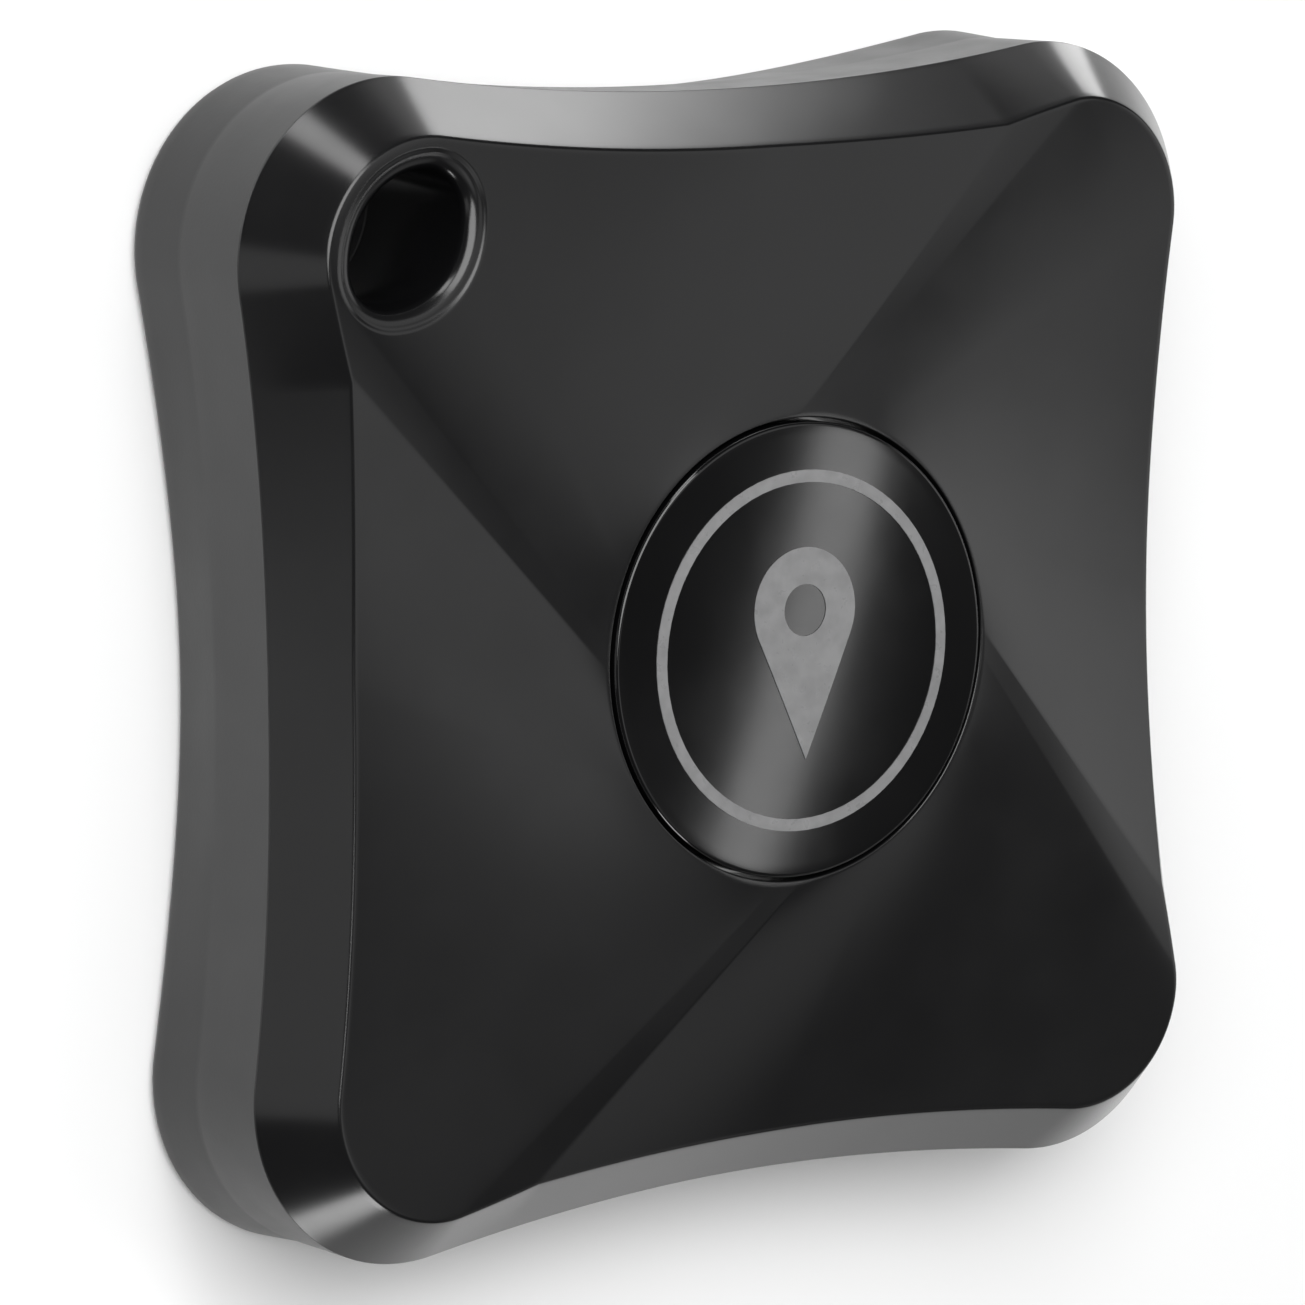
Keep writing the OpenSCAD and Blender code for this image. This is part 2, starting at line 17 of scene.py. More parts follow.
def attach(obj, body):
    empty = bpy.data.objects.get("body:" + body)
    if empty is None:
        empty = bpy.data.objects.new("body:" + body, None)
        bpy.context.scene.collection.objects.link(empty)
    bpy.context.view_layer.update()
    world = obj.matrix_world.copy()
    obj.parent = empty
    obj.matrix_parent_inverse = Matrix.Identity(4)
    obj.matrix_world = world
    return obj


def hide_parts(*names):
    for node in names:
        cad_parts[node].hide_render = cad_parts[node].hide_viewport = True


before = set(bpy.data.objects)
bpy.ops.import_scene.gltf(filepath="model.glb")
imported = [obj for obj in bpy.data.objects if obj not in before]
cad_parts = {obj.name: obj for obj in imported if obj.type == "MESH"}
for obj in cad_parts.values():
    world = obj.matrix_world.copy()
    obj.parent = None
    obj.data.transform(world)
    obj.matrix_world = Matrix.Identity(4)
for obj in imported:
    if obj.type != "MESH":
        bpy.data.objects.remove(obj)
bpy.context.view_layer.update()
MM = 0.001

# ---------- Sizes, in millimetres ----------

# The case's outline and outside. WAIST is how far the sides' middles are drawn in.
CASE_HALF = 19.0
CORNER_R = 5.75
WAIST = 1.0
JOINT_Z = 5.85
FACE_Z = 8.0
BEVEL_W = 1.78
CREASE_Z = 2.7
TAPER = 0.22
CORNER_FLARE = 0.42
CORNER_LIFT = 0.3
BACK_R = 0.45
CREASE_SOFT = 0.12
EDGE_SOFT = 0.1
CREASE_BLEND = 0.004
SEAM_SOFT = 0.05
SEAM_MIDDLE = (0.3, 0.4)
CHAMFER = 0.1

# Heights at which the rear shell's side has a ring, below and above its crease
LOW_SIDE_ZS = (0.8, 1.2, 1.6, 2.0)
HIGH_SIDE_ZS = (3.4, 4.2)

# The blades climb to CROWN_Z. The face's edge rises by KINK_RISE to each blade's crease, and
# comes down again over RISE_DROP.
CROWN_Z = 9.7
TWIST = math.radians(30)
KINK_RISE = 0.34
KINK_AT = 10 / 13
KINK_INSET = 0.3
RISE_DROP = 16.0
INSET_DROP = 4.5
CREASE_POWER = 1.5
CREASE_FADE = 3
CLIMB_STRAIGHT = 0.75
EDGE_CROWDING = 1.15
BEVEL_SHARES = (0.035, 0.06, 0.2, 0.4, 0.6, 0.8, 0.9)
EDGE_SHARES = (0, 0.2, 0.4, 0.6, 0.8)

# Walls, the snap rim and the hollows
WALL = 1.4
RIM_OUT = 1.5
RIM_IN = 2.2
RIM_FOOT_Z = 4.6
RIM_TOP_Z = 6.75
CAVITY_IN = 1.43
CEILING_Z = 6.85
ROOM_R = 11.5
ROOM_Z = 7.55
FLOOR_Z = 1.0

# Posts for the board's screws
BOSS_PLACES = ((12, 12), (-12, -12), (13.4, 1.5))
BOSS_R = 1.5
BOSS_BORE_R = 0.73
BOSS_FOOT_Z = 5.7
BOSS_TOP_Z = 6.95

# The button and its opening
OPENING_R = 7.57
LIP_R = 0.06
LIP_UNDER_Z = 8.69
POCKET_R = 8.72
BUTTON_R = 7.45
BUTTON_RIM_Z = 9.8
DOME_RISE = 0.2
BUTTON_SOFT = 0.14
BUTTON_UNDER_Z = 8.75
BUTTON_SKIRT = 0.85
FLANGE_R = 8.42
FLANGE_Z = 8.14
FLANGE_T = 0.5

# The foam pad under the cell
PAD_R = 7.0
PAD_TOP_Z = 1.35

# The key-ring hole: half its length and width, its ends' radius, its tube and its sunk rim
HOLE_AT = np.array([-14.05, 14.05])
HOLE_LONG = 2.5
HOLE_SHORT = 1.8
HOLE_END_R = 1.3
HOLE_WALL = 0.8
TUBE_GAP = 0.12
TUBE_SEAM = 0.05
HOLE_RIM_W = 0.5
HOLE_RIM_OUT = 0.72
HOLE_RIM_SINK = 0.06
HOLE_RIM_MARGIN = 0.02
HOLE_RIM_RINGS = 10
HOLE_BACK_R = 0.4
# The face is filled in again this far out from the hole
PATCH_W = 0.8
PATCH_DEPTH = 0.5
RAY_FROM_Z = 20.0

# The pry slot
NOTCH_HALF_W = 4.0
NOTCH_DEPTH = 0.9
NOTCH_H = 0.7

# How finely the shapes are sampled, the angle up to which edges are shaded smooth, and what
# counts as the same place or as no area
SIDE_STEPS = 52
CORNER_STEPS = 60
FACE_RINGS = 72
OVAL_STEPS = 128
LATHE_STEPS = 256
DOME_STEPS = 24
BOSS_STEPS = 48
BISECTIONS = 20
SMOOTH_ANGLE = math.radians(35)
SAME_PLACE = 1e-7
NO_AREA = 1e-6

# ---------- Outline of the case ----------


class Outline:
    """Four corner arcs joined by four hollow side arcs, sampled anticlockwise from the +X side's
    middle. Each point has an arc's centre, a direction and a radius, so insetting is exact."""

    def __init__(self):
        corner = CASE_HALF - CORNER_R
        side_m = CASE_HALF - WAIST
        q = CORNER_R - side_m
        side_c = (2 * corner * corner - q * q) / (2 * (corner + q))
        side_r = side_c - side_m
        turn = math.atan2(corner, side_c - corner)
        centres, ways, radii, signs = [], [], [], []
        for i in range(SIDE_STEPS):
            a = turn * i / SIDE_STEPS
            centres.append((side_c, 0))
            ways.append((-math.cos(a), math.sin(a)))
            radii.append(side_r)
            signs.append(1)
        for i in range(CORNER_STEPS + 1):
            t = i / CORNER_STEPS
            a = t * math.pi / 2 - turn * (1 - 2 * t)
            centres.append((corner, corner))
            ways.append((math.cos(a), math.sin(a)))
            radii.append(CORNER_R)
            signs.append(-1)
        for i in range(SIDE_STEPS - 1, 0, -1):
            centres.append((0, side_c))
            ways.append(ways[i][::-1])
            radii.append(side_r)
            signs.append(1)
        centres, ways = np.array(centres, float), np.array(ways, float)
        quarter_turn = np.array([[0, 1], [-1, 0]])
        turns = [np.linalg.matrix_power(quarter_turn, k) for k in range(4)]
        self.centres = np.concatenate([centres @ t for t in turns])
        self.ways = np.concatenate([ways @ t for t in turns])
        self.radii = np.tile(radii, 4)
        self.signs = np.tile(signs, 4)
        self.count = len(self.radii)
        points = self.inset(0)
        steps = np.linalg.norm(np.roll(points, -1, 0) - points, axis=1)
        quarter = self.count // 4
        # 0 at the middles of the sides and 1 at the corners
        self.corner_share = (1 - np.cos(4 * np.arctan2(points[:, 1], points[:, 0]))) / 2
        # How far each point is from the middle of the next side, and that side's half length
        self.to_middle = np.tile(steps[:quarter][::-1].cumsum()[::-1], 4)
        self.half_side = side_r * turn

    def inset(self, d):
        """The outline's points, inset by d, which may differ from point to point."""
        return self.centres + (self.radii + self.signs * d)[:, None] * self.ways


OUTLINE = Outline()


def smooth(t):
    """Eases from 0 to 1 as t does."""
    t = np.clip(t, 0, 1)
    return t * t * (3 - 2 * t)


def to_crease(drop):
    """0 at the middle of each side, growing to 1 at its crease and falling back over a drop."""
    kink = KINK_AT * OUTLINE.half_side
    s = OUTLINE.to_middle
    fall = (1 - np.clip((s - kink) / drop, 0, 1)) ** 2
    return np.where(s <= kink, (s / kink) ** CREASE_POWER, fall)


def with_z(points, z):
    """Gives points in plan one height, or a height each."""
    return np.column_stack([points, np.broadcast_to(z, len(points))])


def circle_ring(r, z):
    """A circle whose points follow the outline's, turned on by the blades' twist."""
    base = OUTLINE.inset(BEVEL_W)
    a = np.arctan2(base[:, 1], base[:, 0]) + TWIST
    return with_z(np.column_stack([r * np.cos(a), r * np.sin(a)]), z)


# ---------- Oval of the key-ring hole ----------

OVAL_END = HOLE_LONG - HOLE_END_R
OVAL_DROP = (OVAL_END**2 - (HOLE_SHORT - HOLE_END_R) ** 2) / (2 * (HOLE_SHORT - HOLE_END_R))
OVAL_SIDE_R = HOLE_SHORT + OVAL_DROP
OVAL_AXES = np.array([[1, 1], [-1, 1]]) / math.sqrt(2)


def oval_ring(grow):
    """Points round the hole's oval, grown by a distance. Its edge turns evenly between them."""
    points = []
    for k in range(OVAL_STEPS):
        a = 2 * math.pi * k / OVAL_STEPS
        c, s = math.cos(a), math.sin(a)
        if abs(c) * OVAL_DROP > abs(s) * OVAL_END:
            x = math.copysign(OVAL_END, c) + (HOLE_END_R + grow) * c
            y = (HOLE_END_R + grow) * s
        else:
            x = (OVAL_SIDE_R + grow) * c
            y = (OVAL_SIDE_R + grow) * s - math.copysign(OVAL_DROP, s)
        points.append((x, y))
    return np.array(points) @ OVAL_AXES + HOLE_AT


def oval_distance(points):
    """How far outside the hole's oval each point is."""
    x, y = np.abs((points - HOLE_AT) @ OVAL_AXES.T).T
    at_end = x * OVAL_DROP > (y + OVAL_DROP) * OVAL_END
    to_end = np.hypot(x - OVAL_END, y) - HOLE_END_R
    to_side = np.hypot(x, y + OVAL_DROP) - OVAL_SIDE_R
    return np.where(at_end, to_end, to_side)


# ---------- Mesh helpers ----------


class Solid:
    """Vertices and faces that rings and patches are added to."""

    def __init__(self):
        self.points = []
        self.faces = []

    def ring(self, points):
        """Adds a closed ring of points and returns their indices."""
        start = len(self.points)
        self.points.extend(map(tuple, points))
        return list(range(start, len(self.points)))

    def band(self, a, b):
        """Joins two rings of the same count with quads."""
        n = len(a)
        for i in range(n):
            j = (i + 1) % n
            self.faces.append((a[i], a[j], b[j], b[i]))

    def loft(self, rings):
        """Adds rings and joins each to the next. Returns the first and the last ring's indices."""
        made = [self.ring(r) for r in rings]
        for a, b in zip(made, made[1:]):
            self.band(a, b)
        return made[0], made[-1]

    def patch(self, outer, holes=(), up=True):
        """Fills the plan area inside the outer loop and outside the holes with triangles."""
        loops = [list(outer)] + [list(h) for h in holes]
        ids = [i for loop in loops for i in loop]
        flat = [Vector(self.points[i][:2]) for i in ids]
        edges, start = [], 0
        for loop in loops:
            n = len(loop)
            edges += [(start + k, start + (k + 1) % n) for k in range(n)]
            start += n
        out = delaunay_2d_cdt(flat, edges, [], 0, SAME_PLACE)
        verts, triangles, sources = out[0], out[2], out[3]
        rims = [np.array([self.points[i][:2] for i in loop]) for loop in loops]
        for t in triangles:
            middle = sum((verts[k] for k in t), Vector((0, 0))) / len(t)
            if not inside(rims[0], middle) or any(inside(r, middle) for r in rims[1:]):
                continue
            face = [ids[sources[k][0]] for k in t]
            a, b, c = (verts[k] for k in t[:3])
            twice_area = (b - a).cross(c - a)
            if abs(twice_area) < NO_AREA:
                continue
            if (twice_area > 0) != up:
                face.reverse()
            self.faces.append(tuple(face))

    def make(self, name, body, node, finish):
        """The finished piece: welded, facing outwards, smooth up to an angle, on its body."""
        mesh = bpy.data.meshes.new(name)
        mesh.from_pydata([Vector(p) * MM for p in self.points], [], self.faces)
        mesh.validate()
        piece = bpy.data.objects.new(name, mesh)
        bpy.context.scene.collection.objects.link(piece)
        tidy_mesh(mesh)
        mesh.shade_smooth()
        mesh.set_sharp_from_angle(angle=SMOOTH_ANGLE)
        mesh.materials.append(finish.material)
        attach(piece, body)
        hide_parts(node)
        return piece


def tidy_mesh(mesh):
    """Welds doubles, drops unused vertices and turns every face outwards."""
    bm = bmesh.new()
    bm.from_mesh(mesh)
    bmesh.ops.remove_doubles(bm, verts=bm.verts, dist=SAME_PLACE)
    loose = [v for v in bm.verts if not v.link_faces]
    bmesh.ops.delete(bm, geom=loose, context="VERTS")
    bmesh.ops.recalc_face_normals(bm, faces=bm.faces)
    bm.to_mesh(mesh)
    bm.free()


def inside(loop, p):
    """Whether the point p is inside the closed loop."""
    x1, y1 = loop.T
    x2, y2 = np.roll(loop, -1, 0).T
    spans = (y1 > p[1]) != (y2 > p[1])
    with np.errstate(divide="ignore", invalid="ignore"):
        cross = x1 + (p[1] - y1) * (x2 - x1) / (y2 - y1)
    return bool(np.count_nonzero(spans & (p[0] < cross)) % 2)


def arc(r, start, end, steps):
    """Points (x, y) along an arc of radius r round the origin, between two angles in degrees."""
    angles = np.radians(np.linspace(start, end, steps))
    return [(r * math.cos(a), r * math.sin(a)) for a in angles]


# ---------- Front cover ----------


def front_rings():
    """Rings of the front cover's outside, from the joint up the bevel and in to the button."""
    rise = KINK_RISE * to_crease(RISE_DROP)
    lift = CORNER_LIFT * OUTLINE.corner_share
    joint_z = JOINT_Z + lift
    top_z = FACE_Z + rise + lift
    bevel = BEVEL_W + KINK_INSET * to_crease(INSET_DROP)
    rings = [with_z(OUTLINE.inset(SEAM_SOFT), joint_z)]
    middle_in, middle_up = SEAM_MIDDLE
    rings.append(with_z(OUTLINE.inset(SEAM_SOFT * middle_in), joint_z + SEAM_SOFT * middle_up))
    slope = np.array([bevel, top_z - joint_z])
    slope = slope / np.linalg.norm(slope, axis=0)
    for share in BEVEL_SHARES:
        z = joint_z + share * (top_z - joint_z)
        rings.append(with_z(OUTLINE.inset(share * bevel), z))
    # The face edge is rounded by a short curve between the bevel and the face
    end = OUTLINE.inset(bevel)
    way = face_rise_way(end)
    for t in EDGE_SHARES:
        down = EDGE_SOFT * (1 - t) ** 2
        along = EDGE_SOFT * t**2
        inset = bevel - down * slope[0]
        points = OUTLINE.inset(inset + along)
        rings.append(with_z(points, top_z - down * slope[1] + along * way))
    # The blades climb to the button, and keep their creases for most of the way
    crown = circle_ring(OPENING_R + LIP_R, CROWN_Z)
    start = OUTLINE.inset(bevel + EDGE_SOFT)
    low = FACE_Z + EDGE_SOFT * way
    for j in range(FACE_RINGS + 1):
        u = (j / FACE_RINGS) ** EDGE_CROWDING
        climb = CLIMB_STRAIGHT * u + (1 - CLIMB_STRAIGHT) * u * u
        height = low + (CROWN_Z - low) * climb
        height += rise * (1 - u**CREASE_FADE) + lift * (1 - u)
        rings.append(with_z((1 - u) * start + u * crown[:, :2], height))
    for x, y in arc(LIP_R, 80, 0, 7):
        rings.append(circle_ring(OPENING_R + LIP_R - x, CROWN_Z - LIP_R + y))
    return rings


def face_rise_way(edge):
    """Slope of the face just inside its edge."""
    span = np.linalg.norm(edge - circle_ring(OPENING_R, 0)[:, :2], axis=1)
    return CLIMB_STRAIGHT * (CROWN_Z - FACE_Z) / span


def hole_drop(g):
    """How far the face is sunk at a distance g outside the hole."""
    return HOLE_RIM_SINK * float(smooth((HOLE_RIM_OUT - g) / (HOLE_RIM_OUT - HOLE_RIM_W)))


def hole_rings(skin):
    """Rings of the key-ring hole: the sunk strip round it, its rolled edge and its tube."""

    def skin_z(points):
        starts = [Vector((x, y, RAY_FROM_Z)) for x, y in points]
        return np.array([skin.ray_cast(start, Vector((0, 0, -1)))[0].z for start in starts])

    rings = []
    for g in np.linspace(HOLE_RIM_OUT + HOLE_RIM_MARGIN, HOLE_RIM_W, HOLE_RIM_RINGS):
        points = oval_ring(g)
        rings.append(with_z(points, skin_z(points) - hole_drop(g)))
    sunk = skin_z(oval_ring(HOLE_RIM_W)) - HOLE_RIM_SINK
    for x, y in arc(HOLE_RIM_W, 85, 0, 17):
        rings.append(with_z(oval_ring(HOLE_RIM_W - x), sunk - HOLE_RIM_W + y))
    tube_z = CREASE_Z + TUBE_SEAM
    tube = ((0, tube_z + SEAM_SOFT), (SEAM_SOFT, tube_z), (HOLE_WALL, tube_z))
    rings += [with_z(oval_ring(grow), z) for grow, z in (*tube, (HOLE_WALL, CEILING_Z))]
    return rings


def open_face(solid):
    """Takes away the face round the key-ring hole. Returns the loop of vertices round the gap."""
    points = np.array(solid.points)
    near = (oval_distance(points[:, :2]) < PATCH_W) & (points[:, 2] > FACE_Z - PATCH_DEPTH)
    cut = [f for f in solid.faces if any(near[i] for i in f)]
    solid.faces = [f for f in solid.faces if not any(near[i] for i in f)]
    return border(cut)


def front_cover():
    """The glossy shell with the pinwheel face, the button's opening and the front of the hole."""
    solid = Solid()
    made = [solid.ring(r) for r in front_rings()]
    for a, b in zip(made, made[1:]):
        solid.band(a, b)
    skin = BVHTree.FromPolygons([Vector(p) for p in solid.points], solid.faces)
    gap = open_face(solid)
    hole_top, hole_end = solid.loft(hole_rings(skin))
    solid.patch(gap, [hole_top])

    # Inside: the pocket over the button's flange, the room over the board and the ceiling
    inner = [
        circle_ring(OPENING_R, LIP_UNDER_Z),
        circle_ring(POCKET_R, LIP_UNDER_Z),
        circle_ring(POCKET_R, ROOM_Z),
        circle_ring(ROOM_R, ROOM_Z),
        circle_ring(ROOM_R, CEILING_Z),
    ]
    lip, room = solid.loft(inner)
    solid.band(made[-1], lip)
    joint_z = JOINT_Z + CORNER_LIFT * OUTLINE.corner_share
    hollow = [with_z(OUTLINE.inset(CAVITY_IN), z) for z in (CEILING_Z, joint_z)]
    ceiling, foot = solid.loft(hollow)
    solid.patch(ceiling, [room, hole_end], up=False)
    solid.band(foot, made[0])
    for x, y in BOSS_PLACES:
        screw_boss(solid, x, y)
    solid.make("pinwheel_cover", "front_half", "front_cover", front_plastic())


def screw_boss(solid, x, y):
    """A hollow post under the ceiling that one of the board's screws goes into."""
    bore = [(BOSS_BORE_R, BOSS_TOP_Z), (BOSS_BORE_R, BOSS_FOOT_Z + CHAMFER)]
    outside = [(BOSS_R, BOSS_FOOT_Z), (BOSS_R, BOSS_TOP_Z)]
    a = np.linspace(0, 2 * math.pi, BOSS_STEPS, endpoint=False)
    rings = []
    for r, z in bore + [(BOSS_BORE_R + CHAMFER, BOSS_FOOT_Z)] + outside:
        rings.append(with_z(np.column_stack([x + r * np.cos(a), y + r * np.sin(a)]), z))
    first, last = solid.loft(rings)
    solid.band(last, first)


def border(faces):
    """The loop of vertices round a region of faces, in the order that the faces run."""
    edges = {(a, b): True for f in faces for a, b in zip(f, f[1:] + f[:1])}
    outer = {a: b for a, b in edges if (b, a) not in edges}
    start = next(iter(outer))
    loop = [start]
    while outer[loop[-1]] != start:
        loop.append(outer[loop[-1]])
    return loop


# ---------- Rear shell ----------


def notch_share():
    """1 along the pry slot in the +X side's middle and 0 elsewhere."""
    points = OUTLINE.inset(0)
    return np.where((points[:, 0] > 0) & (np.abs(points[:, 1]) < NOTCH_HALF_W), 1.0, 0.0)


def rim_inset():
    """The rim's inner inset, kept clear of the tube round the key-ring hole."""
    low, high = np.full(OUTLINE.count, RIM_OUT + CHAMFER), np.full(OUTLINE.count, RIM_IN)
    clear = HOLE_WALL + TUBE_GAP
    free = oval_distance(OUTLINE.inset(high)) > clear
    for _ in range(BISECTIONS):
        mid = (low + high) / 2
        good = oval_distance(OUTLINE.inset(mid)) > clear
        low, high = np.where(good, mid, low), np.where(good, high, mid)
    return np.where(free, RIM_IN, low)


def rear_outside(joint_z):
    """Rings up the rear shell's outside, from its back past its crease to the joint."""
    notch = notch_share() * NOTCH_DEPTH
    back_inset = TAPER - CORNER_FLARE * OUTLINE.corner_share
    rings = [with_z(OUTLINE.inset(back_inset + BACK_R), 0)]
    for x, y in arc(BACK_R, -80, 0, 8):
        rings.append(with_z(OUTLINE.inset(back_inset + BACK_R - x), BACK_R + y))
    for z in (*LOW_SIDE_ZS, CREASE_Z - CREASE_SOFT):
        share = (CREASE_Z - z) / (CREASE_Z - BACK_R)
        rings.append(with_z(OUTLINE.inset(back_inset * share), z))
    rings.append(with_z(OUTLINE.inset(CREASE_BLEND), CREASE_Z))
    slot_z = JOINT_Z - NOTCH_H
    rings += [with_z(OUTLINE.inset(0), z) for z in (CREASE_Z + CREASE_SOFT, *HIGH_SIDE_ZS, slot_z)]
    rings += [with_z(OUTLINE.inset(notch), z) for z in (slot_z, joint_z - SEAM_SOFT)]
    rings.append(with_z(OUTLINE.inset(notch + SEAM_SOFT), joint_z))
    return rings


def rear_inside(joint_z):
    """Rings over the rim that the front cover snaps onto, and down the wall to the floor."""
    rim = rim_inset()
    return [
        with_z(OUTLINE.inset(RIM_OUT), joint_z),
        with_z(OUTLINE.inset(RIM_OUT), RIM_TOP_Z - CHAMFER),
        with_z(OUTLINE.inset(RIM_OUT + CHAMFER), RIM_TOP_Z),
        with_z(OUTLINE.inset(rim), RIM_TOP_Z),
        with_z(OUTLINE.inset(rim), RIM_FOOT_Z),
        with_z(OUTLINE.inset(WALL), RIM_FOOT_Z),
        with_z(OUTLINE.inset(WALL), FLOOR_Z),
    ]


def rear_tube():
    """Rings of the tube round the key-ring hole, from the floor up, over and out at the back."""
    rings = [with_z(oval_ring(HOLE_WALL), z) for z in (FLOOR_Z, CREASE_Z)]
    rings.append(with_z(oval_ring(SEAM_SOFT), CREASE_Z))
    rings.append(with_z(oval_ring(0), CREASE_Z - SEAM_SOFT))
    for x, y in arc(HOLE_BACK_R, 0, -90, 9):
        rings.append(with_z(oval_ring(HOLE_BACK_R - x), HOLE_BACK_R + y))
    return rings


def rear_shell():
    """The satin shell with the crease round its side, its snap rim and the back of the hole."""
    solid = Solid()
    joint_z = JOINT_Z + CORNER_LIFT * OUTLINE.corner_share
    back, floor = solid.loft(rear_outside(joint_z) + rear_inside(joint_z))
    tube_foot, hole_mouth = solid.loft(rear_tube())
    solid.patch(floor, [tube_foot])
    solid.patch(back, [hole_mouth], up=False)
    solid.make("back_shell", "rear_half", "rear_shell", rear_plastic())


# ---------- Button ----------


def lathe(solid, profile):
    """Turns a profile of (radius, z) round the Z axis, on which it starts and ends."""
    a = np.linspace(0, 2 * math.pi, LATHE_STEPS, endpoint=False)
    wheel = np.column_stack([np.cos(a), np.sin(a)])
    made = [solid.ring(with_z(wheel * r, z)) for r, z in profile[1:-1]]
    for one, two in zip(made, made[1:]):
        solid.band(one, two)
    for ring, (_, z) in ((made[0], profile[0]), (made[-1], profile[-1])):
        tip = solid.ring([(0, 0, z)])[0]
        for k in range(LATHE_STEPS):
            solid.faces.append((ring[k], ring[(k + 1) % LATHE_STEPS], tip))


def button():
    """The push button: a shallow dome on a skirt, with a flange that keeps it in."""
    dome_r = (BUTTON_R**2 + DOME_RISE**2) / (2 * DOME_RISE)
    dome_z = BUTTON_RIM_Z + DOME_RISE - dome_r

    def dome(r):
        return dome_z + math.sqrt(dome_r * dome_r - r * r)

    edge = BUTTON_R - BUTTON_SOFT
    radii = [edge * k / DOME_STEPS for k in range(DOME_STEPS + 1)]
    profile = [(r, dome(r)) for r in radii]
    corner_z = dome(edge) - BUTTON_SOFT
    profile += [(edge + x, corner_z + y) for x, y in arc(BUTTON_SOFT, 80, 0, 9)]
    flange_top_z = FLANGE_Z + FLANGE_T
    profile += [(BUTTON_R, flange_top_z), (FLANGE_R, flange_top_z), (FLANGE_R, FLANGE_Z)]
    inner = BUTTON_R - BUTTON_SKIRT
    profile += [(inner, FLANGE_Z), (inner, BUTTON_UNDER_Z), (0, BUTTON_UNDER_Z)]
    solid = Solid()
    lathe(solid, profile)
    solid.make("domed_button", "button", "button_cap", button_plastic())


def foam_pad():
    """The disc of foam under the cell, with a rounded rim."""
    soft = (PAD_TOP_Z - FLOOR_Z) / 2
    profile = [(0, FLOOR_Z)]
    profile += [(PAD_R - soft + x, FLOOR_Z + soft + y) for x, y in arc(soft, -85, 85, 17)]
    profile.append((0, PAD_TOP_Z))
    solid = Solid()
    lathe(solid, profile)
    pad = solid.make("foam_disc", "rear_half", "cell_foam_pad", open_cell_foam())


# ---------- Materials ----------

# Most of a noise texture's values lie between these
NOISE_LOW = 0.3
NOISE_HIGH = 0.7
# At this scale, a wave texture's bands are one unit apart
BAND_SCALE = 0.314


